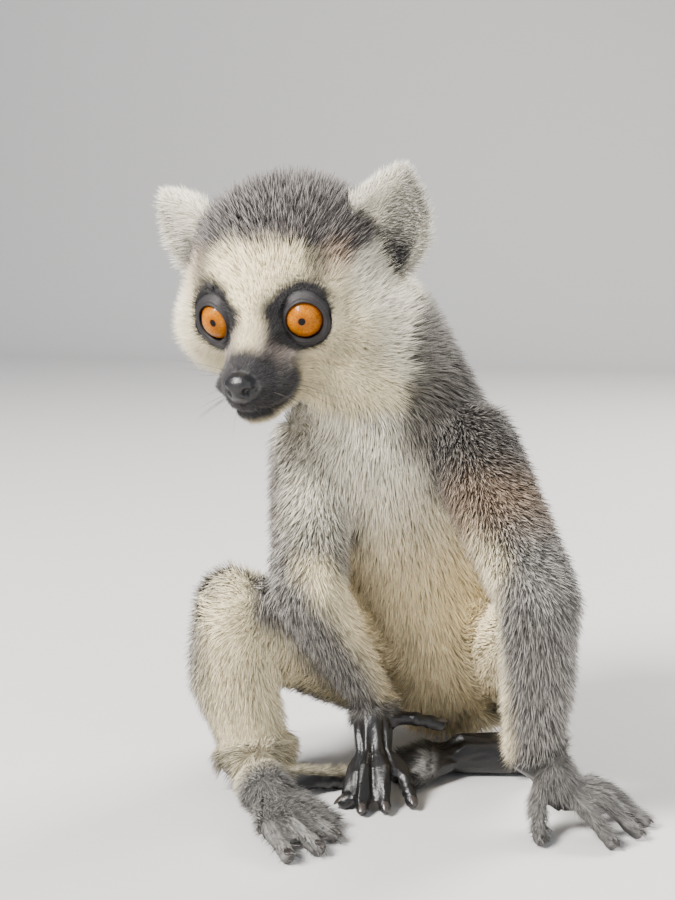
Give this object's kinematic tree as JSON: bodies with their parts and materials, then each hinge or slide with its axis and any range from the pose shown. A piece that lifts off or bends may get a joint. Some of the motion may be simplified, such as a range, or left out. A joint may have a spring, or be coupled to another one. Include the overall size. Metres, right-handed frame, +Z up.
{
  "type": "ring-tailed lemur model",
  "caption": "Life-size still model of a young ring-tailed lemur sitting on flat ground, its arms set down in front and its tail laid out behind.",
  "frame": {"origin": "on the floor, in the flat that the rump sits on", "axes": "+Z up, the body faces -Y and looks towards its own right (-X); the animal's left is +X; the tail runs back along +Y"},
  "size_m": [0.2436, 0.4309, 0.227],
  "materials": {
    "coat_grey": "dense soft fur, pale tips over a dark base",
    "coat_brown": "dense soft fur with a brown tinge on the back and flank",
    "coat_cream": "soft cream fur of the face, belly and shins",
    "coat_pale": "long white fur of the ears",
    "coat_ringed": "thick fur in black and white rings",
    "coat_silver": "short silver-grey fur",
    "bare_skin": "black glossy bare skin of the palms and digits",
    "nose_leather": "black moist fine-grained skin",
    "eye_amber": "wet clear cornea over an amber iris"
  },
  "bodies": {
    "root": {"belly": "coat_cream", "chest": "coat_brown", "ear_left": "coat_pale", "ear_right": "coat_pale", "eye_left": "eye_amber", "eye_right": "eye_amber", "foot_left": "coat_silver", "foot_right": "coat_silver", "forearm_left": "coat_grey", "forearm_right": "coat_grey", "hand_left": "coat_silver", "hand_right": "bare_skin", "head": "coat_cream", "neck": "coat_grey", "nose": "nose_leather", "shin_left": "coat_cream", "shin_right": "coat_cream", "tail_1": "coat_ringed", "tail_2": "coat_ringed", "tail_3": "coat_ringed", "tail_4": "coat_ringed", "tail_5": "coat_ringed", "thigh_left": "coat_silver", "thigh_right": "coat_silver", "upper_arm_left": "coat_grey", "upper_arm_right": "coat_grey"}
  },
  "joints": []
}
